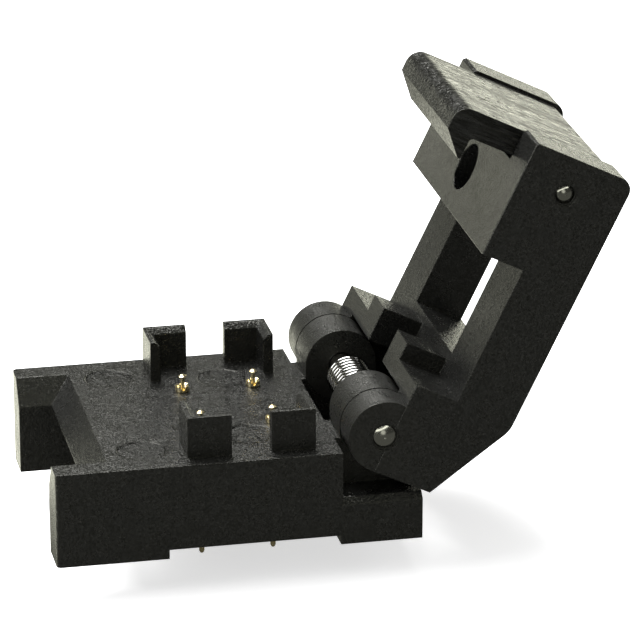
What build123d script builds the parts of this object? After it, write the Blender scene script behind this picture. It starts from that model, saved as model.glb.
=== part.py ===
from build123d import *
import math
import os

# Crystal test socket with a sprung clamshell lid, drawn with the lid swung open.
# Millimetres. +X runs from the latch end to the hinge end, +Z is up from the board, and the
# origin is the centre of the four contacts on the board plane.

# Base moulding
base_width = 20.4
deck_height = 6.75
foot_height = 0.66
front_foot_length = 7.74
rear_foot_length = 5.72
rear_shelf_length = 5.6
shelf_height = 3.35
shelf_edge_chamfer = 0.45
corner_radius = 0.35

# Catch notch in the latch end
notch_wall = 3.04
notch_depth = 2.34
catch_height = 4.92
catch_land = 0.03
lead_in_run = 1.46
side_lead_in_run = 1.24
catch_pocket_depth = 4.7
notch_run_out = 5.0

# Corner posts that locate the crystal
post_height = 2.93
post_leg_x = 3.05
post_leg_y = 3.3
post_wall = 0.7
post_lead_in = 0.37
post_span_x = 8.87
post_inset_y = 1.22
post_gap_hinge = 0.415
post_gap_nose = 0.895

# Round marks left by the ejector sleeves
witness_radius = 1.7
witness_depth = 0.04
witness_stations = (6.45, 14.3)
witness_offsets = (6.9, 5.4)

# Contacts
pitch_x = 5.08
pitch_y = 7.0
barrel_radius = 0.48
barrel_wall = 0.1
barrel_foot = 0.06
crown_radius = 0.5
crown_wall = 0.12
crown_height = 0.42
crown_slot = 0.24
plunger_radius = 0.17
plunger_head_radius = 0.3
plunger_head_height = 0.24
plunger_rise = 1.27
piston_length = 0.9
mouth_length = 0.5
tail_radius = 0.19
tail_reach = 2.67
tail_plug_length = 0.7
probe_wire_radius = 0.045
probe_spring_turns = 6
fine_gap = 0.03

# Hinge
hinge_setback = 2.67
hinge_height = 7.675
open_angle = 115.9
hinge_pin_radius = 0.83
hinge_pin_proud = 0.12
pin_dome = 0.3
pin_recess = 0.12
pin_recess_rim = 0.17
ear_radius = 2.55
ear_width = 3.37
knuckle_radius = 2.55
knuckle_width = 2.65
side_gap = 0.18
pin_gap = 0.05

# Lid moulding, in its own frame: length from the hinge axis, height out of its top
lid_overhang = 0.07
lid_top = 8.0
lid_pad_level = 0.37
rail_level = 3.55
heel_height = 4.75
heel_slope = 28.0
heel_radius = 2.0
lid_end_radius = 0.9
lid_end_chamfer = 0.2
nose_length = 8.45
window_start = 6.0
window_width = 10.6
window_flare_width = 2.0
window_flare_depth = 0.75
finger_start = 2.87
finger_thickness = 1.3
finger_tip = 5.4
finger_inner = 2.2
finger_outer = 4.95
bridge_level = 4.6
bridge_start = -1.5
crossbar_start = 4.35
bore_offset = 3.15
bore_radius = 1.72
bore_depth = 1.3

# Latch lever, in the lid's frame
latch_pin_inset = 2.53
latch_pin_height = 3.86
latch_pin_radius = 0.68
lever_width = 13.7
lever_side_gap = 0.15
lever_thickness = 1.85
lever_setback = 0.2
lever_drop = 0.55
lever_foot = -4.6
lever_boss_radius = 1.35
hook_level = -2.82
hook_reach = 1.6
hook_blunt = 0.22
hook_root_radius = 0.3
toe_radius = 1.1
lever_top_radius = 0.7
slot_sill_height = 1.7
slot_gap = 0.25
slot_sill_fall = 0.5

# Springs
coil_radius = 1.32
coil_wire_radius = 0.22
coil_pitch = 0.5
coil_turns = 6
base_leg_angle = 150.0
base_leg_socket = 0.8
lid_leg_angle = 315.0
lid_leg_socket = 0.6
latch_spring_radius = 0.85
latch_spring_wire = 0.14
latch_spring_turns = 5
latch_spring_cover = 1.75
latch_spring_socket = 1.6
latch_spring_play = 0.12

# Places worked out from the sizes above
hinge_x = finger_start + finger_thickness + post_gap_hinge + post_span_x / 2
nose_start = hinge_x + post_span_x / 2 + post_gap_nose
lid_length = nose_start + nose_length
latch_end = hinge_x - lid_length + lid_overhang
hinge_end = hinge_x + hinge_setback
deck_end = hinge_end - rear_shelf_length
half_width = base_width / 2
notch_half = half_width - notch_wall
lead_in_foot = catch_height + catch_land
ear_outer = half_width - knuckle_width - side_gap
ear_inner = ear_outer - ear_width
bore_station = nose_start + bore_offset
latch_pin_station = lid_length - latch_pin_inset
latch_spring_height = lid_top - latch_spring_cover
lever_top = lid_top - lever_drop
lid_outer_face = lid_length - lever_setback
lever_inner_face = lid_outer_face - lever_thickness
slot_width = lever_width + 2 * lever_side_gap
slot_back = latch_pin_station - lever_boss_radius - slot_gap
slot_sill = lever_inner_face - slot_gap
coil_height = (coil_turns + (lid_leg_angle - base_leg_angle) / 360) * coil_pitch
base_leg_slope = math.radians(base_leg_angle)
base_leg_drop = hinge_height - coil_radius * math.sin(base_leg_slope) - shelf_height
base_leg_length = -base_leg_drop / math.cos(base_leg_slope) + base_leg_socket
lid_leg_slope = math.radians(lid_leg_angle - open_angle)
lid_leg_start = (
    -coil_radius * math.cos(lid_leg_slope),
    coil_height / 2,
    -coil_radius * math.sin(lid_leg_slope),
)
lid_leg_way = (math.sin(lid_leg_slope), 0, -math.cos(lid_leg_slope))
lid_leg_length = (bridge_level - lid_leg_start[2]) / lid_leg_way[2] + lid_leg_socket
lid_frame_plane = Plane(
    origin=(hinge_x, 0, hinge_height),
    x_dir=(-math.cos(math.radians(open_angle)), 0, math.sin(math.radians(open_angle))),
    z_dir=(math.sin(math.radians(open_angle)), 0, math.cos(math.radians(open_angle))),
)


def slab(points, width, centre=0.0):
    """A closed side profile, drawn out along the width about a centre line."""
    face = make_face(Polyline(*points, close=True))
    return Pos(0, centre, 0) * extrude(Plane.XZ * face, amount=width / 2, both=True)


def side_disc(radius, width, x, z, centre=0.0):
    """A round disc or rod across the width."""
    rod = Cylinder(radius, width, rotation=(90, 0, 0))
    return Pos(x, centre, z) * rod


def block(x_range, y_range, z_range):
    """A box between two corners."""
    size = [high - low for low, high in (x_range, y_range, z_range)]
    middle = [(high + low) / 2 for low, high in (x_range, y_range, z_range)]
    return Pos(*middle) * Box(*size)


def corner_edges(solid, x, z):
    """The edges across the width at one corner of a side profile."""
    across = solid.edges().filter_by(Axis.Y)
    return across.filter_by(lambda e: abs(e.center().X - x) < 0.01 and abs(e.center().Z - z) < 0.01)


def contact_places():
    """Centres of the four contacts, latch end first."""
    return [(sx * pitch_x / 2, sy * pitch_y / 2) for sx in (-1, 1) for sy in (-1, 1)]


# Base

def corner_post(sx, sy):
    """An L of two thin legs with its corner outwards and a lead-in along its inner top edge."""
    outer_x = post_span_x / 2
    outer_y = half_width - post_inset_y
    top = deck_height + post_height
    leg_x = block((outer_x - post_leg_x, outer_x), (outer_y - post_wall, outer_y), (deck_height, top))
    leg_y = block((outer_x - post_wall, outer_x), (outer_y - post_leg_y, outer_y), (deck_height, top))
    inner_x = outer_x - post_wall
    inner_y = outer_y - post_wall
    low = Pos(0, 0, top - post_lead_in) * Rectangle(2 * inner_x, 2 * inner_y)
    grown = 2 * post_lead_in
    high = Pos(0, 0, top) * Rectangle(2 * inner_x + grown, 2 * inner_y + grown)
    post = leg_x + leg_y - loft([low, high])
    if sx < 0:
        post = mirror(post, about=Plane.YZ)
    if sy < 0:
        post = mirror(post, about=Plane.XZ)
    return post


def catch_notch():
    """The space the hook enters: a through notch, its flared mouth and the pocket under the catch."""
    outside = latch_end - notch_run_out
    pocket = block((outside, latch_end + catch_pocket_depth), (-notch_half, notch_half), (-1, catch_height))
    throat = block((outside, latch_end + notch_depth), (-notch_half, notch_half), (-1, deck_height + 1))

    def mouth_slice(level, run, side):
        length = notch_depth + run + notch_run_out
        return Pos(outside + length / 2, 0, level) * Rectangle(length, 2 * (notch_half + side))

    mouth = loft([mouth_slice(lead_in_foot, 0, 0), mouth_slice(deck_height, lead_in_run, side_lead_in_run)])
    return pocket + throat + mouth


def hinge_ear(side):
    """A lug on the rear shelf with a round head about the hinge axis."""
    centre = side * (ear_outer + ear_inner) / 2
    stem = [
        (deck_end - 1, shelf_height - 1),
        (hinge_x + ear_radius, shelf_height - 1),
        (hinge_x + ear_radius, hinge_height),
        (hinge_x - ear_radius, hinge_height),
        (hinge_x - ear_radius, deck_height),
        (deck_end - 1, deck_height),
    ]
    return slab(stem, ear_width, centre) + side_disc(ear_radius, ear_width, hinge_x, hinge_height, centre)


def make_base():
    """The base moulding with its feet, shelf, ears, posts, notch and contact holes."""
    side = [
        (latch_end, 0),
        (latch_end + front_foot_length, 0),
        (latch_end + front_foot_length, foot_height),
        (hinge_end - rear_foot_length, foot_height),
        (hinge_end - rear_foot_length, 0),
        (hinge_end, 0),
        (hinge_end, shelf_height),
        (deck_end, shelf_height),
        (deck_end, deck_height),
        (latch_end, deck_height),
    ]
    body = slab(side, base_width)
    body = fillet(body.edges().filter_by(Axis.Z).group_by(Axis.X)[0], corner_radius)
    shelf_rims = body.edges().filter_by(Axis.X).group_by(Axis.Z)
    rims = [edge for group in shelf_rims for edge in group if abs(edge.center().Z - shelf_height) < 0.01]
    body = chamfer(rims, shelf_edge_chamfer)
    body -= catch_notch()
    for s in (-1, 1):
        body += hinge_ear(s)
    body -= side_disc(hinge_pin_radius + pin_gap, base_width, hinge_x, hinge_height)
    for sx in (-1, 1):
        for sy in (-1, 1):
            body += corner_post(sx, sy)
    for x, y in contact_places():
        body -= Pos(x, y, deck_height / 2) * Cylinder(barrel_radius, deck_height * 2)
    for station, offset in zip(witness_stations, witness_offsets):
        for s in (-1, 1):
            place = Pos(latch_end + station, s * offset, deck_height)
            body -= place * Cylinder(witness_radius, 2 * witness_depth)
    leg_start = (
        hinge_x + coil_radius * math.cos(base_leg_slope),
        coil_height / 2,
        hinge_height - coil_radius * math.sin(base_leg_slope),
    )
    leg_line = Plane(origin=leg_start, z_dir=(math.sin(base_leg_slope), 0, math.cos(base_leg_slope)))
    leg_hole = Pos(0, 0, (base_leg_length + fine_gap) / 2)
    body -= leg_line * (leg_hole * Cylinder(coil_wire_radius + fine_gap, base_leg_length + fine_gap))
    return body


# Contacts

def revolved(points):
    """A turned piece from half a section, given as radius and height."""
    return revolve(Plane.XZ * make_face(Polyline(*points, close=True)), Axis.Z)


def make_barrel():
    """A drawn barrel with a crimped mouth and a four-pointed crown that sits on the deck."""
    inner = barrel_radius - barrel_wall
    top = deck_height + crown_height
    shell = revolved([
        (inner, foot_height + barrel_foot),
        (barrel_radius, foot_height + barrel_foot),
        (barrel_radius, deck_height),
        (crown_radius, deck_height + 0.06),
        (crown_radius, top),
        (crown_radius - crown_wall, top - 0.05),
        (plunger_radius + fine_gap, deck_height),
        (plunger_radius + fine_gap, deck_height - mouth_length),
        (inner, deck_height - mouth_length - 0.15),
    ])
    for angle in (0, 90):
        notch = Polyline((-crown_slot, top + 0.01), (crown_slot, top + 0.01), (0, deck_height + 0.1), close=True)
        cut = extrude(Plane.XZ * make_face(notch), amount=2 * crown_radius, both=True)
        shell -= Rot(0, 0, angle) * cut
    return shell


def plunger_levels():
    """Heights that the plunger, its spring and the tail share."""
    piston_top = deck_height - mouth_length - 0.2
    piston_foot = piston_top - piston_length
    plug_top = foot_height + barrel_foot + tail_plug_length
    return piston_top, piston_foot, plug_top


def make_plunger():
    """The sprung pin: a guided piston, a slender stem and a pointed mushroom head."""
    piston_top, piston_foot, _ = plunger_levels()
    tip = deck_height + plunger_rise
    head = tip - plunger_head_height
    piston = barrel_radius - barrel_wall - fine_gap
    return revolved([
        (0, piston_foot),
        (piston, piston_foot),
        (piston, piston_top - 0.1),
        (plunger_radius, piston_top),
        (plunger_radius, head),
        (plunger_head_radius, head + 0.05),
        (plunger_head_radius, head + 0.1),
        (0.12, tip - 0.02),
        (0, tip),
    ])


def make_probe_spring():
    """The coil that pushes the plunger up."""
    _, piston_foot, plug_top = plunger_levels()
    room = piston_foot - plug_top - 2 * probe_wire_radius - 2 * fine_gap
    radius = barrel_radius - barrel_wall - probe_wire_radius - fine_gap
    path = Helix(pitch=room / probe_spring_turns, height=room, radius=radius)
    section = Plane(origin=path @ 0, z_dir=path % 0) * RegularPolygon(probe_wire_radius, 5)
    coil = sweep(section, path=path, is_frenet=True)
    return Pos(0, 0, plug_top + probe_wire_radius + fine_gap) * coil


def make_tail():
    """The solder tail, plugged into the foot of the barrel."""
    _, _, plug_top = plunger_levels()
    plug = barrel_radius - barrel_wall
    return revolved([
        (0, -tail_reach),
        (tail_radius - 0.07, -tail_reach),
        (tail_radius, -tail_reach + 0.15),
        (tail_radius, foot_height + barrel_foot),
        (plug, foot_height + barrel_foot),
        (plug, plug_top),
        (0, plug_top),
    ])


# Lid, drawn in its own frame and then swung open

def lid_back_top():
    """Where the sloping back of the lid meets its flat top."""
    slope = math.tan(math.radians(heel_slope))
    return (lid_top - heel_height) / slope - knuckle_radius


def lid_side_profile():
    """Side view of the lid: heel, sloping back, flat top, nose, rail and finger root."""
    back_top = lid_back_top()
    return [
        (-knuckle_radius, 0),
        (-knuckle_radius, heel_height),
        (back_top, lid_top),
        (lid_length, lid_top),
        (lid_length, lid_pad_level),
        (nose_start, lid_pad_level),
        (nose_start, rail_level),
        (finger_start, rail_level),
        (finger_start, lid_pad_level),
        (0, lid_pad_level),
        (0, 0),
    ]


def pressure_finger(side):
    """An L-shaped finger: a leg out to the side of the lid, and a toe towards the window."""
    high = rail_level + 0.5
    leg = block((finger_start, finger_start + finger_thickness), (finger_inner, half_width),
                (lid_pad_level, high))
    toe = block((finger_start, finger_tip), (finger_inner, finger_outer), (lid_pad_level, high))
    finger = leg + toe
    return finger if side > 0 else mirror(finger, about=Plane.XZ)


def window_cut():
    """The window through the lid, with a shallow flare on its outer side."""
    centre = (window_start + nose_start) / 2
    length = nose_start - window_start
    hole = Pos(centre, 0, lid_top / 2) * Box(length, window_width, 2 * lid_top)
    flare = 2 * window_flare_width
    low = Pos(centre, 0, lid_top - window_flare_depth) * Rectangle(length, window_width)
    high = Pos(centre, 0, lid_top) * Rectangle(length + flare / 2, window_width + flare)
    return hole + loft([low, high])


def latch_slot():
    """The slot across the nose in which the latch lever rocks."""
    sill_top = lid_pad_level + slot_sill_height
    profile = [
        (lid_length + 1, lid_pad_level - 1),
        (slot_sill, lid_pad_level - 1),
        (slot_sill, sill_top - slot_sill_fall),
        (slot_back, sill_top),
        (slot_back, lid_top + 1),
        (lid_length + 1, lid_top + 1),
    ]
    return slab(profile, slot_width)


def make_lid():
    """The lid moulding in its own frame."""
    lid = slab(lid_side_profile(), base_width)
    lid = fillet(corner_edges(lid, lid_length, lid_top), lid_end_radius)
    lid = fillet(corner_edges(lid, lid_back_top(), lid_top), heel_radius)
    lid = chamfer(corner_edges(lid, lid_length, lid_pad_level), lid_end_chamfer)
    lid += side_disc(knuckle_radius, base_width, 0, 0)
    hinge_gap = 2 * (half_width - knuckle_width)
    clear = [
        (-knuckle_radius - 1, -knuckle_radius - 1),
        (finger_start, -knuckle_radius - 1),
        (finger_start, bridge_level),
        (bridge_start, bridge_level),
        (bridge_start, lid_top),
        (-knuckle_radius - 1, lid_top),
    ]
    lid -= slab(clear, hinge_gap)
    for s in (-1, 1):
        lid += pressure_finger(s)
    lid -= block((0, crossbar_start), (-finger_inner, finger_inner), (-1, bridge_level))
    lid -= window_cut()
    lid -= latch_slot()
    lid -= Pos(bore_station, 0, lid_pad_level + bore_depth / 2) * Cylinder(bore_radius, bore_depth)
    socket_length = latch_spring_socket
    lid -= Pos(slot_back - socket_length / 2, 0, latch_spring_height) * Cylinder(
        latch_spring_radius + latch_spring_wire + latch_spring_play, socket_length, rotation=(0, 90, 0))
    leg_hole = Pos(0, 0, (lid_leg_length + fine_gap) / 2)
    lid -= Plane(origin=lid_leg_start, z_dir=lid_leg_way) * (
        leg_hole * Cylinder(coil_wire_radius + fine_gap, lid_leg_length + fine_gap))
    lid -= side_disc(hinge_pin_radius, base_width, 0, 0)
    lid -= side_disc(latch_pin_radius, base_width, latch_pin_station, latch_pin_height)
    for s in (-1, 1):
        face = s * (half_width - pin_recess / 2)
        lid -= side_disc(hinge_pin_radius + pin_recess_rim, pin_recess, 0, 0, face)
        lid -= side_disc(latch_pin_radius + pin_recess_rim, pin_recess, latch_pin_station,
                         latch_pin_height, face)
    return lid


def make_lever():
    """The latch lever: a flat plate with a boss on the pin and a hook at its foot."""
    toe = lever_inner_face + 0.05
    lip = lever_inner_face - hook_reach
    profile = [
        (lid_outer_face, lever_foot),
        (lid_outer_face, lever_top),
        (lever_inner_face, lever_top),
        (lever_inner_face, hook_level),
        (lip, hook_level),
        (lip, hook_level - hook_blunt),
        (toe, lever_foot),
    ]
    lever = slab(profile, lever_width)
    lever = fillet(corner_edges(lever, lid_outer_face, lever_foot), toe_radius)
    lever = fillet(corner_edges(lever, lid_outer_face, lever_top), lever_top_radius)
    lever = fillet(corner_edges(lever, lever_inner_face, hook_level), hook_root_radius)
    boss = side_disc(lever_boss_radius, lever_width, latch_pin_station, latch_pin_height)
    lever += boss
    lever -= side_disc(latch_pin_radius + pin_gap, lever_width, latch_pin_station, latch_pin_height)
    return lever


def make_pin(radius, recess):
    """A plain pin with domed ends, across the whole width."""
    reach = half_width + hinge_pin_proud - recess
    shoulder = reach - pin_dome
    dome_radius = (radius ** 2 + pin_dome ** 2) / (2 * pin_dome)
    half_out = reach - dome_radius + math.sqrt(dome_radius ** 2 - radius ** 2 / 4)
    outline = [
        Line((0, -reach), (0, reach)),
        ThreePointArc((0, reach), (radius / 2, half_out), (radius, shoulder)),
        Line((radius, shoulder), (radius, -shoulder)),
        ThreePointArc((radius, -shoulder), (radius / 2, -half_out), (0, -reach)),
    ]
    return revolve(Plane.XZ * make_face(Curve() + outline), Axis.Z)


def make_hinge_spring():
    """The torsion spring about the hinge pin: close coils, a leg on the base and a leg on the lid."""
    path = Helix(pitch=coil_pitch, height=coil_height, radius=coil_radius)
    section = Plane(origin=path @ 0, z_dir=path % 0) * RegularPolygon(coil_wire_radius, 8)
    coil = sweep(section, path=path, is_frenet=True)
    legs = []
    for end, direction, length in ((path @ 0, path % 0 * -1, base_leg_length),
                                   (path @ 1, path % 1, lid_leg_length)):
        flat = Vector(direction.X, direction.Y, 0).normalized()
        rod = extrude(Plane(origin=end - flat * 0.02, z_dir=flat) * RegularPolygon(coil_wire_radius, 8), length)
        legs.append(rod)
    spring = Rot(0, 0, base_leg_angle) * (coil + legs[0] + legs[1])
    spring = Pos(0, 0, -coil_height / 2) * spring
    spring = Rot(-90, 0, 0) * spring
    return Pos(hinge_x, 0, hinge_height) * mirror(spring, about=Plane.XZ)


def make_latch_spring():
    """The small coil between the lid and the lever's upper end."""
    length = lever_inner_face - slot_back + latch_spring_socket - 2 * latch_spring_wire - 3 * fine_gap
    path = Helix(pitch=length / latch_spring_turns, height=length, radius=latch_spring_radius)
    section = Plane(origin=path @ 0, z_dir=path % 0) * RegularPolygon(latch_spring_wire, 6)
    coil = sweep(section, path=path, is_frenet=True)
    start = slot_back - latch_spring_socket + latch_spring_wire + fine_gap
    return Pos(start, 0, latch_spring_height) * (Rot(0, 90, 0) * coil)


def build_parts():
    """Every piece by name, in the part's own frame."""
    pieces = {
        "base_body": make_base(),
        "lid_frame": lid_frame_plane.location * make_lid(),
        "latch_lever": lid_frame_plane.location * make_lever(),
        "latch_spring": lid_frame_plane.location * make_latch_spring(),
        "hinge_spring": make_hinge_spring(),
    }
    across = Rot(90, 0, 0)
    pieces["hinge_pin"] = Pos(hinge_x, 0, hinge_height) * (across * make_pin(hinge_pin_radius, 0))
    pin_place = Pos(latch_pin_station, 0, latch_pin_height)
    latch_pin = pin_place * (across * make_pin(latch_pin_radius, pin_recess))
    pieces["latch_pin"] = lid_frame_plane.location * latch_pin
    for number, (x, y) in enumerate(contact_places(), start=1):
        place = Pos(x, y, 0)
        pieces[f"probe_barrel_{number}"] = place * make_barrel()
        pieces[f"probe_plunger_{number}"] = place * make_plunger()
        pieces[f"probe_spring_{number}"] = place * make_probe_spring()
        pieces[f"probe_leg_{number}"] = place * make_tail()
    return pieces


os.makedirs("parts", exist_ok=True)
for name, piece in build_parts().items():
    export_step(piece, f"parts/{name}.step")
    print(name, "solids", len(piece.solids()), "volume", round(piece.volume, 3))
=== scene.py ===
# %% [markdown]
# # Crystal socket, seen open
# A socket that stands on a circuit board and clamps a crystal under a sprung lid. The construction
# comes in as a fixed frame: its solids keep their shape and place. This notebook gives each piece its
# finish, draws the two larger springs as round wire and sets a plain studio round the part.

# %% Load the frame
import math

import bpy
import numpy as np
from mathutils import Matrix, Vector


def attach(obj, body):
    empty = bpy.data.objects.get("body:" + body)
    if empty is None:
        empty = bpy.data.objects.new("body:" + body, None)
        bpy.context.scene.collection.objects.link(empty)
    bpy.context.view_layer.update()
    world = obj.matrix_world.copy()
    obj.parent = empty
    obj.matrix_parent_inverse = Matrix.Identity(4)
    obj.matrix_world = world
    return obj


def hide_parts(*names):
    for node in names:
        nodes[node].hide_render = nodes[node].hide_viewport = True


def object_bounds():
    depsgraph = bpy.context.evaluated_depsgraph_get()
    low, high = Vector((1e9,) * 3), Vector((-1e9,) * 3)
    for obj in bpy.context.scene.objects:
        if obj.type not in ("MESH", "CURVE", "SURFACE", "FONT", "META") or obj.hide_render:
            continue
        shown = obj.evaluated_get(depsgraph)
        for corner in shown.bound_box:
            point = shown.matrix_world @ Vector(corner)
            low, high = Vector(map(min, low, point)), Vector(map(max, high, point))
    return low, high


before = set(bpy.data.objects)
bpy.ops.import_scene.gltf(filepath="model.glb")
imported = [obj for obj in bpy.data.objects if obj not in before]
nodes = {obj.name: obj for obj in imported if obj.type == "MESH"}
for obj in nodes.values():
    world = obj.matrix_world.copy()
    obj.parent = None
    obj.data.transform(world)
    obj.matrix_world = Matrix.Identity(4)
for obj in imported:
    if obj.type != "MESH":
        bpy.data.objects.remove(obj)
cad_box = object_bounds()
MM = 0.001
print("nodes", len(nodes), "box", [round(v, 5) for v in (*cad_box[0], *cad_box[1])])

# %% [markdown]
# ## Places shared by the pieces
# The hinge axis, the latch pin and the lid's own axes are the same as in the construction, so that
# everything drawn here lands on it. The lid's length runs along `LID_U` from the hinge, and `LID_W`
# points out of its top.

# %% Places
HINGE = np.array([9.02, 0.0, 7.675]) * MM
OPEN = math.radians(115.9)
LID_U = np.array([-math.cos(OPEN), 0.0, math.sin(OPEN)])
LID_W = np.array([math.sin(OPEN), 0.0, math.cos(OPEN)])


def on_lid(u, y, w):
    """A point of the lid in metres, from lid coordinates in millimetres: HINGE + u U + y Y + w W."""
    return HINGE + (u * LID_U + w * LID_W + np.array([0.0, y, 0.0])) * MM


print("latch pin at", on_lid(20.27, 0, 3.86).round(5))

# %% [markdown]
# ## Helpers for the finishes
# A finish is a graph of small nodes. It could be wired by hand, or kept in node groups. Here each kind
# of node is one short function that takes sockets or numbers and gives back a socket, so that a finish
# further down reads like a formula.

# %% Arithmetic on sockets
def socket(node, name, value):
    """Sets one constant input."""
    node.inputs[name].default_value = value


def arithmetic(tree, operation, first, second):
    """One arithmetic node; either side is a socket or a number."""
    node = tree.nodes.new("ShaderNodeMath")
    node.operation = operation
    for index, side in enumerate((first, second)):
        if isinstance(side, (int, float)):
            socket(node, index, side)
        else:
            tree.links.new(side, node.inputs[index])
    return node.outputs[0]


def plus(tree, first, second):
    """first + second."""
    return arithmetic(tree, "ADD", first, second)


def minus(tree, first, second):
    """first - second."""
    return arithmetic(tree, "SUBTRACT", first, second)


def times(tree, first, second):
    """first * second."""
    return arithmetic(tree, "MULTIPLY", first, second)


def size_of(tree, value):
    """The value without its sign."""
    return arithmetic(tree, "ABSOLUTE", value, 0.0)


def step(tree, value, low, high, at_low, at_high):
    """A smooth step: at_low below the low level, at_high above the high one, 3t^2 - 2t^3 between them."""
    node = tree.nodes.new("ShaderNodeMapRange")
    node.interpolation_type = "SMOOTHSTEP"
    for name, number in (("From Min", low), ("From Max", high), ("To Min", at_low), ("To Max", at_high)):
        socket(node, name, number)
    tree.links.new(value, node.inputs["Value"])
    return node.outputs["Result"]


def along(tree, coords, way):
    """How far a direction or a place lies along a way: their dot product."""
    node = tree.nodes.new("ShaderNodeVectorMath")
    node.operation = "DOT_PRODUCT"
    socket(node, 1, way)
    tree.links.new(coords, node.inputs[0])
    return node.outputs["Value"]


def parts_of(tree, coords):
    """The X, Y and Z of a direction or a place, by name."""
    split = tree.nodes.new("ShaderNodeSeparateXYZ")
    tree.links.new(coords, split.inputs[0])
    return split.outputs


print("helpers for arithmetic, steps and directions")

# %% Noise, colours and a new material
def noise(tree, coords, scale, detail, stretch=(1, 1, 1), turn=0.0):
    """A noise texture on Object coordinates turned about Y and then stretched by the given factors."""
    mapping = tree.nodes.new("ShaderNodeMapping")
    mapping.vector_type = "TEXTURE"
    socket(mapping, "Rotation", (0, turn, 0))
    socket(mapping, "Scale", stretch)
    tree.links.new(coords, mapping.inputs["Vector"])
    texture = tree.nodes.new("ShaderNodeTexNoise")
    socket(texture, "Scale", scale)
    socket(texture, "Detail", detail)
    socket(texture, "Roughness", 0.6)
    tree.links.new(mapping.outputs["Vector"], texture.inputs["Vector"])
    return texture.outputs["Fac"]


def ramp(tree, fac, low, high, dark, light):
    """Maps a grey value between two stops onto two colours."""
    node = tree.nodes.new("ShaderNodeValToRGB")
    node.color_ramp.elements[0].position = low
    node.color_ramp.elements[1].position = high
    node.color_ramp.elements[0].color = (*dark, 1)
    node.color_ramp.elements[1].color = (*light, 1)
    tree.links.new(fac, node.inputs["Fac"])
    return node.outputs["Color"]


def blank_material(name):
    """A new material, its node tree, its shader and the piece's own coordinates."""
    material = bpy.data.materials.new(name)
    material.use_nodes = True
    tree = material.node_tree
    coords = tree.nodes.new("ShaderNodeTexCoord").outputs["Object"]
    return material, tree, tree.nodes["Principled BSDF"], coords


def dress(name, material):
    """Gives a piece of the construction one finish."""
    nodes[name].data.materials.clear()
    nodes[name].data.materials.append(material)


print("helpers for noise, colours and materials")

# %% [markdown]
# ## Faces that left the mould another way
# A mould isn't finished evenly. The deck comes from a spark-eroded face and is coarser, the ejector
# pins leave round marks with polished rims, the face of the lid's block over the window is smoother,
# and the round parts at the hinge are duller. The rims also carry a painted shade: a dark line in the
# colour that stands in for the shade on the marks' recess walls. Separate materials on painted faces
# would need the mesh cut up. A value worked out from the place, as distance to an axis or a plane,
# leaves it alone.

# %% Distances to the hinge, the marks and two faces
DECK_LEVEL = 6.75 * MM
PAD_LEVEL = 0.37 * MM
FACE_NEAR, FACE_OFF = 0.03 * MM, 0.06 * MM
MARK_RADIUS = 1.7 * MM
MARKS = ((-7.26 * MM, 6.9 * MM, 0.0), (0.59 * MM, 5.4 * MM, 0.0))
RIM_NEAR, RIM_OFF = 0.09 * MM, 0.18 * MM


def hinge_distance(tree, coords):
    """Distance of a place from the hinge axis: the length of (x - x_h, z - z_h)."""
    shift = tree.nodes.new("ShaderNodeVectorMath")
    shift.operation = "SUBTRACT"
    socket(shift, 1, HINGE)
    flat = tree.nodes.new("ShaderNodeVectorMath")
    flat.operation = "MULTIPLY"
    socket(flat, 1, (1, 0, 1))
    length = tree.nodes.new("ShaderNodeVectorMath")
    length.operation = "LENGTH"
    tree.links.new(coords, shift.inputs[0])
    tree.links.new(shift.outputs[0], flat.inputs[0])
    tree.links.new(flat.outputs[0], length.inputs[0])
    return length.outputs["Value"]


def on_level(tree, height, level):
    """1 where a height is within 0.03 mm of a level, 0 from 0.06 mm on."""
    return step(tree, size_of(tree, minus(tree, height, level)), FACE_NEAR, FACE_OFF, 1.0, 0.0)


def deck_face(tree, coords):
    """1 on the base's deck, by its height z."""
    return on_level(tree, parts_of(tree, coords)["Z"], DECK_LEVEL)


def pad_face(tree, coords):
    """1 on the face of the lid's block, by its height over the hinge along W."""
    return on_level(tree, along(tree, coords, LID_W), float(HINGE @ LID_W) + PAD_LEVEL)


def mark_rims(tree, coords):
    """1 on the ejector marks' rims: the least |(x, |y|) - c| - r over both centres c is near 0 there."""
    place = parts_of(tree, coords)
    folded = tree.nodes.new("ShaderNodeCombineXYZ")
    tree.links.new(place["X"], folded.inputs["X"])
    tree.links.new(size_of(tree, place["Y"]), folded.inputs["Y"])
    gaps = []
    for centre in MARKS:
        reach = tree.nodes.new("ShaderNodeVectorMath")
        reach.operation = "DISTANCE"
        socket(reach, 1, centre)
        tree.links.new(folded.outputs[0], reach.inputs[0])
        gaps.append(minus(tree, reach.outputs["Value"], MARK_RADIUS))
    return step(tree, size_of(tree, arithmetic(tree, "MINIMUM", *gaps)), RIM_NEAR, RIM_OFF, 1.0, 0.0)


print("marks of radius", MARK_RADIUS, "on the deck at", DECK_LEVEL)

# %% [markdown]
# ## Black moulding compound
# The mouldings are a black glass-filled resin. Three things make it read as that rather than as flat
# black: short fibres under the skin give a mottled tone, the mould's fine grain breaks up the
# highlights, and the sheen rises at grazing angles. A painted texture would do it too, but noise on
# Object coordinates has no seams and holds at any distance. Bevel modifiers could round the edges; a
# bevelled normal in the shader does it here without touching the construction's faces.

# %% Resin
CLOUD, SPECK, PATCH = (6500, 4), (6800, 2), (900, 3)
CLOUD_MEAN = 0.52
DARK_STOP, LIGHT_STOP = 0.42, 0.66
LIGHT_GAIN = 2.2
DECK_CONTRAST = 1.5
RIM_POLISH, PAD_POLISH, PAD_CALM = 0.13, 0.08, 0.6
HINGE_NEAR, HINGE_OFF, HINGE_DULL = 2.6 * MM, 2.7 * MM, 0.16
EDGE_ROUND = 0.09 * MM


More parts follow.
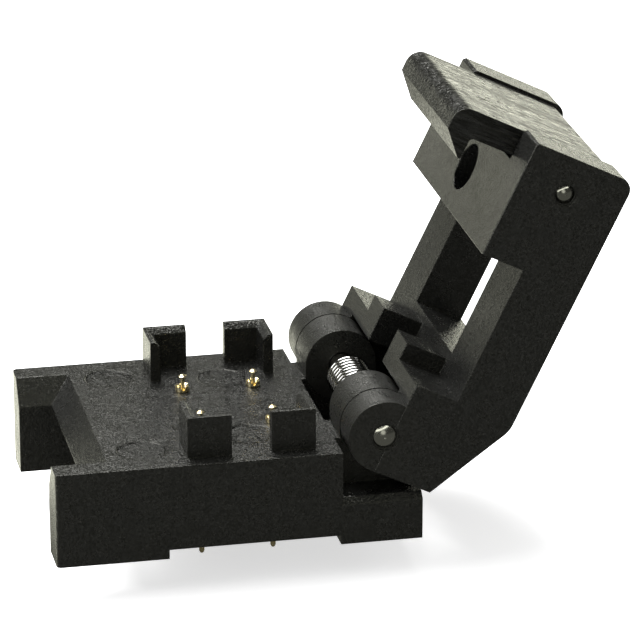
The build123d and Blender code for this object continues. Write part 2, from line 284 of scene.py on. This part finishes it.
def resin_tone(tree, coords, tone, spread, contrast, stretch, turn, rim_shade_and_polish):
    """Cloud noise k drawn to its mean by the contrast c, (k - 0.52) c + 0.52, less a painted shade line on the
    marks' rims.

    It is mapped onto the tones from (1 - s) to (1 + 2.2 s) of the mean tone, s being the spread."""
    cloud = noise(tree, coords, *CLOUD, stretch, turn)
    cloud = plus(tree, times(tree, minus(tree, cloud, CLOUD_MEAN), contrast), CLOUD_MEAN)
    # painted shade: the rims' mask darkens the tone, standing in for the shade on the ejector marks' recess
    # walls
    if rim_shade_and_polish is not None:
        cloud = minus(tree, cloud, rim_shade_and_polish)
    dark = [v * (1 - spread) for v in tone]
    light = [v * (1 + LIGHT_GAIN * spread) for v in tone]
    return ramp(tree, cloud, DARK_STOP, LIGHT_STOP, dark, light)


def moulding(name, tone, spread, contrast, stretch, turn, rough, swing, relief, deck=False, pad=False):
    """Glass-filled resin: mottled tone, uneven gloss, fine grain in the bump and rounded edges.

    The roughness is the mean plus a fine and a broad noise, both times the swing. deck says that the
    piece has the coarse deck and the ejector marks, pad that it has the smoother face. CLOUD, SPECK and
    PATCH are the noises' scale to the metre and their detail."""
    material, tree, shader, coords = blank_material(name)
    # the rims' mask drives a polish (lower roughness) and a painted shade line in the colour
    rim_shade_and_polish = mark_rims(tree, coords) if deck else None
    smooth = pad_face(tree, coords) if pad else None
    if deck:
        contrast = plus(tree, times(tree, deck_face(tree, coords), DECK_CONTRAST), contrast)
    color = resin_tone(tree, coords, tone, spread, contrast, stretch, turn, rim_shade_and_polish)
    speck = noise(tree, coords, *SPECK, stretch, turn)
    patch = noise(tree, coords, *PATCH, stretch, turn)
    gloss = plus(tree, step(tree, speck, 0.3, 0.7, rough - 0.05 * swing, rough + 0.06 * swing),
                 step(tree, patch, 0.35, 0.65, -0.03 * swing, 0.05 * swing))
    grain = plus(tree, speck, times(tree, patch, 0.8))
    if deck:
        gloss = minus(tree, gloss, times(tree, rim_shade_and_polish, RIM_POLISH))
    if pad:
        gloss = minus(tree, gloss, times(tree, smooth, PAD_POLISH))
        grain = times(tree, grain, minus(tree, 1.0, times(tree, smooth, PAD_CALM)))
    dull = step(tree, hinge_distance(tree, coords), HINGE_NEAR, HINGE_OFF, HINGE_DULL, 0.0)
    edge = tree.nodes.new("ShaderNodeBevel")
    edge.samples = 6
    socket(edge, "Radius", EDGE_ROUND)
    bump = tree.nodes.new("ShaderNodeBump")
    socket(bump, "Strength", 1.0)
    socket(bump, "Distance", relief)
    tree.links.new(grain, bump.inputs["Height"])
    tree.links.new(edge.outputs["Normal"], bump.inputs["Normal"])
    tree.links.new(color, shader.inputs["Base Color"])
    tree.links.new(plus(tree, gloss, dull), shader.inputs["Roughness"])
    tree.links.new(bump.outputs["Normal"], shader.inputs["Normal"])
    socket(shader, "IOR", 1.5)
    socket(shader, "Specular Tint", (1.0, 1.0, 0.9, 1))
    return material


print("resin noises, scale and detail", CLOUD, SPECK, PATCH)

# %% [markdown]
# ## Base, lid and lever
# Base and lid have an even mottle. In the lever the fibres lie from its top to its hook, so its noise
# is turned with the open lid and stretched that way, which draws the streaks on its outer face. A Wave
# texture could draw streaks as well, but they would be too regular.

# %% Dress the mouldings
EVEN, STREAKS = (1, 1, 1), (11, 2.2, 1.4)
FLOW = math.pi / 2 - (math.pi - OPEN)
base_resin = moulding("base_resin", (0.0074, 0.0075, 0.0070), spread=0.85, contrast=0.35, stretch=EVEN, turn=0.0,
                      rough=0.17, swing=1.3, relief=0.06 * MM, deck=True)
lid_resin = moulding("lid_resin", (0.0078, 0.0079, 0.0074), spread=0.85, contrast=0.35, stretch=EVEN, turn=0.0,
                     rough=0.18, swing=1.3, relief=0.05 * MM, pad=True)
lever_resin = moulding("lever_resin", (0.0080, 0.0081, 0.0077), spread=0.5, contrast=1.0, stretch=STREAKS,
                       turn=FLOW, rough=0.18, swing=2.6, relief=0.09 * MM)
for name, material in (("base_body", base_resin), ("lid_frame", lid_resin), ("latch_lever", lever_resin)):
    dress(name, material)
print("resins", base_resin.name, lid_resin.name, lever_resin.name)

# %% [markdown]
# ## Metals
# Pins and springs are bright steel, contacts are gold over nickel. A plain metal shader with one
# roughness would do, but a perfectly even mirror looks computed, so each metal's roughness wanders
# a little with a soft noise.

# %% Dress the metal pieces
def metal(name, color, low, high, scale):
    """A metal whose roughness wanders between two values."""
    material, tree, shader, coords = blank_material(name)
    socket(shader, "Base Color", (*color, 1))
    socket(shader, "Metallic", 1.0)
    spread = tree.nodes.new("ShaderNodeMapRange")
    socket(spread, "To Min", low)
    socket(spread, "To Max", high)
    tree.links.new(noise(tree, coords, scale, 3), spread.inputs["Value"])
    tree.links.new(spread.outputs["Result"], shader.inputs["Roughness"])
    return material


pin_steel = metal("pin_steel", (0.56, 0.56, 0.55), 0.10, 0.22, 1500)
wire_steel = metal("wire_steel", (0.30, 0.30, 0.29), 0.12, 0.15, 800)
gold = metal("gold", (0.80, 0.69, 0.43), 0.16, 0.34, 5000)
for name in nodes:
    if name in ("hinge_pin", "latch_pin"):
        dress(name, pin_steel)
    elif name.startswith("probe_"):
        dress(name, wire_steel if "spring" in name else gold)
print("metals", pin_steel.name, wire_steel.name, gold.name)

# %% [markdown]
# ## Wire
# The construction holds springs as eight-sided wire, which is enough for their mass. Here they are
# drawn as round wire along the same centreline. A curve with a round bevel would give the same form;
# a ring of points carried along the path is one formula and closes without a seam.

# %% Wire along a path
def wire(name, path, radius, around, reference):
    """A round wire: grid point (i, j) = path_i + radius (cos a_j N_i + sin a_j B_i), closed at its ends.

    N and B come from the path's tangent and a reference direction that the tangent never meets."""
    tangent = np.gradient(path, axis=0)
    tangent /= np.linalg.norm(tangent, axis=1)[:, None]
    side = np.cross(tangent, reference)
    side /= np.linalg.norm(side, axis=1)[:, None]
    other = np.cross(side, tangent)
    a = np.linspace(0, 2 * np.pi, around, endpoint=False)
    ring = np.cos(a)[None, :, None] * side[:, None] + np.sin(a)[None, :, None] * other[:, None]
    points = (path[:, None] + radius * ring).reshape(-1, 3)
    count = len(path)
    i, j = np.meshgrid(np.arange(count - 1), np.arange(around), indexing="ij")
    k = (j + 1) % around
    quads = np.stack([i * around + j, (i + 1) * around + j, (i + 1) * around + k, i * around + k], -1)
    faces = quads.reshape(-1, 4).tolist()
    faces.append(list(range(around)))
    faces.append(list(range((count - 1) * around, count * around))[::-1])
    mesh = bpy.data.meshes.new(name)
    mesh.from_pydata(points.tolist(), [], faces)
    mesh.update()
    mesh.shade_smooth()
    made = bpy.data.objects.new(name, mesh)
    bpy.context.scene.collection.objects.link(made)
    made.data.materials.append(wire_steel)
    return made


print("wire in", wire_steel.name)

# %% [markdown]
# ## Hinge spring
# A torsion spring sits round the hinge pin between the base's two lugs and pushes the lid open. It is
# two pieces that meet in the middle coil: one half and its leg stay with the base, the other half and
# its leg turn with the lid. One piece bent over the joint would have to twist; two halves only slide
# round in the same coil.

# %% Hinge spring
COIL_RADIUS, COIL_WIRE, COIL_PITCH, COIL_LEG = 1.32, 0.22, 0.5, 5.0
COIL_START, COIL_END = math.radians(150), math.radians(150 + 360 * 6 + 165)
COIL_HALF = (COIL_END - COIL_START) * COIL_PITCH / (2 * np.pi) / 2
COIL_POINTS, LEG_POINTS, COIL_SIDES = 280, 24, 20


def coil_point(phi):
    """The hinge spring's coil about the Y axis: (r cos p, y(p), -r sin p)."""
    y = COIL_HALF - (phi - COIL_START) * COIL_PITCH / (2 * np.pi)
    return np.stack([COIL_RADIUS * np.cos(phi), y, -COIL_RADIUS * np.sin(phi)], -1)


def hinge_spring_half(name, first, last, leg_at_start):
    """Half of the hinge spring, with a straight leg that leaves one end along the coil's tangent."""
    coil = coil_point(np.linspace(first, last, COIL_POINTS))
    foot, way = (coil[0], coil[0] - coil[1]) if leg_at_start else (coil[-1], coil[-1] - coil[-2])
    way[1] = 0
    way /= np.linalg.norm(way)
    straight = foot + way * np.linspace(0, COIL_LEG, LEG_POINTS)[1:, None]
    path = np.concatenate([straight[::-1], coil] if leg_at_start else [coil, straight])
    return wire(name, path * MM + HINGE, COIL_WIRE * MM, COIL_SIDES, np.array([0.0, 1.0, 0.0]))


middle = (COIL_START + COIL_END) / 2
spring_base = hinge_spring_half("hinge_spring_base", COIL_START, middle, leg_at_start=True)
spring_lid = hinge_spring_half("hinge_spring_lid", middle, COIL_END, leg_at_start=False)
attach(spring_base, "base")
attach(spring_lid, "lid")
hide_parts("hinge_spring")
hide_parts("hinge_spring")
print("hinge spring", len(spring_base.data.vertices), len(spring_lid.data.vertices))

# %% [markdown]
# ## Latch spring
# The small coil behind the lever's upper end keeps the hook in. It lies along the lid's length,
# between the floor of its socket and the lever's inner face, and rides with the lid. It is the same
# swept wire on a helix written in the lid's coordinates.

# %% Latch spring
SOCKET_FLOOR, LEVER_FACE, END_ROOM = 18.67 - 1.6, 20.75, 0.2
LATCH_RADIUS, LATCH_WIRE, LATCH_HEIGHT, LATCH_TURNS = 0.85, 0.14, 6.25, 5
turn = np.linspace(0, 2 * np.pi * LATCH_TURNS, 420)
low_u, high_u = SOCKET_FLOOR + END_ROOM, LEVER_FACE - END_ROOM
local = np.stack([low_u + (high_u - low_u) * turn / turn[-1], LATCH_RADIUS * np.cos(turn),
                  LATCH_HEIGHT + LATCH_RADIUS * np.sin(turn)], -1)
path = HINGE + (local[:, :1] * LID_U + local[:, 2:] * LID_W) * MM + np.outer(local[:, 1], [0, MM, 0])
latch_coil = wire("latch_coil", path, LATCH_WIRE * MM, 14, LID_U)
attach(latch_coil, "lid")
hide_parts("latch_spring")
print("latch spring", len(latch_coil.data.vertices))

# %% [markdown]
# ## Floor
# A pale floor lies under the tips of the contacts' tails. To the camera it is white and keeps a faint
# shadow. Black gloss shows mostly what it mirrors, so a glossy ray sees another floor: dim in front,
# bright behind the part and beside its left end, nearly dark further back, and bright again towards
# the horizon. Cards and lamps could do the same; steps over the floor are shorter and have no edges.

# %% Floor
AWAY = (0.22, 0.976, 0.0)
LEFT = (-1, 0, 0)
TINT = (1.0, 1.0, 0.83, 1)
FLOOR_FRONT, FLOOR_BACK, FLOOR_MIDDLE, FLOOR_FAR = 0.10, 1.7, 0.06, 1.3
CAMERA_GLOW = 0.62


def floor_mirrored(tree, coords):
    """How bright a mirrored place of the floor is: (back b + front) m + far, each a step over the floor."""
    away = along(tree, coords, AWAY)
    beside = times(tree, step(tree, along(tree, coords, LEFT), 0.0162, 0.0175, 0.0, 1.0),
                   step(tree, away, -0.013, -0.007, 0.0, 1.0))
    bright = arithmetic(tree, "MAXIMUM", step(tree, away, 0.002, 0.014, 0.0, 1.0), beside)
    near = plus(tree, times(tree, bright, FLOOR_BACK), FLOOR_FRONT)
    middle = step(tree, away, 0.045, 0.09, 1.0, FLOOR_MIDDLE)
    far = step(tree, away, 0.26, 0.40, 0.0, FLOOR_FAR)
    return plus(tree, times(tree, near, middle), far)


def floor_material():
    """A pale diffuse floor that glows a little to the camera, and only glows to glossy rays."""
    material = bpy.data.materials.new("floor")
    material.use_nodes = True
    tree = material.node_tree
    tree.nodes.clear()
    out = tree.nodes.new("ShaderNodeOutputMaterial")
    diffuse = tree.nodes.new("ShaderNodeBsdfDiffuse")
    socket(diffuse, "Color", (0.8, 0.8, 0.8, 1))
    rays = tree.nodes.new("ShaderNodeLightPath").outputs
    coords = tree.nodes.new("ShaderNodeTexCoord").outputs["Object"]
    glow = tree.nodes.new("ShaderNodeEmission")
    socket(glow, "Color", (1, 1, 1, 1))
    tree.links.new(times(tree, rays["Is Camera Ray"], CAMERA_GLOW), glow.inputs["Strength"])
    seen = tree.nodes.new("ShaderNodeAddShader")
    tree.links.new(diffuse.outputs[0], seen.inputs[0])
    tree.links.new(glow.outputs[0], seen.inputs[1])
    mirrored = tree.nodes.new("ShaderNodeEmission")
    socket(mirrored, "Color", TINT)
    tree.links.new(floor_mirrored(tree, coords), mirrored.inputs["Strength"])
    pick = tree.nodes.new("ShaderNodeMixShader")
    tree.links.new(rays["Is Glossy Ray"], pick.inputs["Fac"])
    tree.links.new(seen.outputs[0], pick.inputs[1])
    tree.links.new(mirrored.outputs[0], pick.inputs[2])
    tree.links.new(pick.outputs[0], out.inputs["Surface"])
    return material


bpy.ops.mesh.primitive_plane_add(size=3, location=(0, 0, cad_box[0].z - 0.1 * MM))
floor = bpy.context.object
floor.name = "floor"
floor.data.materials.append(floor_material())
print("floor at", round(floor.location.z, 5))

# %% [markdown]
# ## Surround
# The room round the part is white to the camera and a plain fill to diffuse light. What the gloss
# mirrors is shaped by direction: behind the part a horizon, bright at the right and weaker at the left,
# with little above it; in front a dim room with an arch of light that the domed pin heads pick up. A
# picture of a studio wrapped round the scene would be the usual way; a few smooth steps need no file.

# %% Surround
WORLD_FRONT, WORLD_LEFT, WORLD_RIGHT, WORLD_ABOVE = 0.05, 0.42, 6.0, 0.07
WORLD_ARCH, WORLD_LOW_SPOT, WORLD_HIGH, WORLD_FILL = 2.6, 0.6, 0.02, 0.5
ARCH_WAY, LOW_SPOT_WAY = (-0.305, 0.468, 0.829), (-0.047, -0.975, 0.21)


def world_mirrored(tree, way):
    """How bright a mirrored direction is: the front's level, changing to the horizon's behind the part."""
    sides = parts_of(tree, way)
    horizon = step(tree, sides["X"], 0.26, 0.46, WORLD_LEFT, WORLD_RIGHT)
    fade = step(tree, sides["Z"], 0.02, 0.17, 1.0, 0.0)
    back = plus(tree, times(tree, minus(tree, horizon, WORLD_ABOVE), fade), WORLD_ABOVE)
    behind = step(tree, along(tree, way, AWAY), -0.1, 0.6, 0.0, 1.0)
    arch = along(tree, way, ARCH_WAY)
    arch = times(tree, step(tree, arch, 0.02, 0.08, 0.0, WORLD_ARCH), step(tree, arch, 0.12, 0.17, 1.0, 0.0))
    low_spot = step(tree, along(tree, way, LOW_SPOT_WAY), 0.95, 0.985, 0.0, WORLD_LOW_SPOT)
    high = step(tree, sides["Z"], 0.5, 0.75, 0.0, WORLD_HIGH)
    front = plus(tree, plus(tree, arch, WORLD_FRONT), plus(tree, low_spot, high))
    return plus(tree, times(tree, minus(tree, back, front), behind), front)


world = bpy.data.worlds.new("surround")
bpy.context.scene.world = world
world.use_nodes = True
tree = world.node_tree
background = tree.nodes["Background"]
rays = tree.nodes.new("ShaderNodeLightPath").outputs
way = tree.nodes.new("ShaderNodeTexCoord").outputs["Generated"]
colour = tree.nodes.new("ShaderNodeMix")
colour.data_type = "RGBA"
socket(colour, 6, (1, 1, 1, 1))
socket(colour, 7, TINT)
tree.links.new(rays["Is Glossy Ray"], colour.inputs[0])
tree.links.new(colour.outputs[2], background.inputs["Color"])
lit = plus(tree, times(tree, world_mirrored(tree, way), rays["Is Glossy Ray"]),
           times(tree, rays["Is Diffuse Ray"], WORLD_FILL))
tree.links.new(plus(tree, lit, rays["Is Camera Ray"]), background.inputs["Strength"])
print("surround", world.name, "with", len(tree.nodes), "nodes")

# %% [markdown]
# ## Lamps
# A large soft lamp above and behind lights the tops and throws the faint shadow forwards, and a
# weaker one from the left keeps the end faces from going flat. Sun lamps would throw hard shadows;
# square area lamps have the soft edges of a light box.

# %% Lamps
def lamp(name, place, size, power, target=(0.004, 0, 0.008)):
    """A square soft lamp aimed at the part."""
    data = bpy.data.lights.new(name, "AREA")
    data.size = size
    data.energy = power
    made = bpy.data.objects.new(name, data)
    bpy.context.scene.collection.objects.link(made)
    made.location = place
    made.rotation_euler = (Vector(target) - Vector(place)).to_track_quat("-Z", "Y").to_euler()
    return made


lamps = [lamp("top", (-0.05, 0.16, 0.42), 0.30, 5.0), lamp("left", (-0.38, -0.06, 0.22), 0.20, 0.9)]
print("lamps", [(made.name, made.data.energy) for made in lamps])

# %% [markdown]
# ## Camera
# The camera stands where the fit to the picture puts it: a long lens, looking along the part from
# the latch end's side and about twenty degrees down. It could be placed by eye and aimed at the part;
# the fitted axes put every edge where the picture has it. The fit was made in pixels, and the lens
# and the shifts are worked out from them.

# %% Camera
PICTURE, SENSOR, FOCAL = 640, 36, 4097.48
CENTRE_X, CENTRE_Y = 322.642, 316.576
PLACE = (-0.04953, -0.26217, 0.11264)
right = Vector((0.97775, -0.20979, 0.00109))
up = Vector((0.07213, 0.34107, 0.93727))
back = right.cross(up).normalized()
data = bpy.data.cameras.new("camera")
data.sensor_width = SENSOR
data.lens = FOCAL / PICTURE * SENSOR
data.shift_x = (PICTURE / 2 - CENTRE_X) / PICTURE
data.shift_y = (CENTRE_Y - PICTURE / 2) / PICTURE
camera = bpy.data.objects.new("camera", data)
bpy.context.scene.collection.objects.link(camera)
camera.matrix_world = Matrix((*((right[i], up[i], back[i], PLACE[i]) for i in range(3)), (0, 0, 0, 1)))
bpy.context.scene.camera = camera
bpy.context.scene.view_settings.view_transform = "Standard"
print("camera lens", round(data.lens, 2))
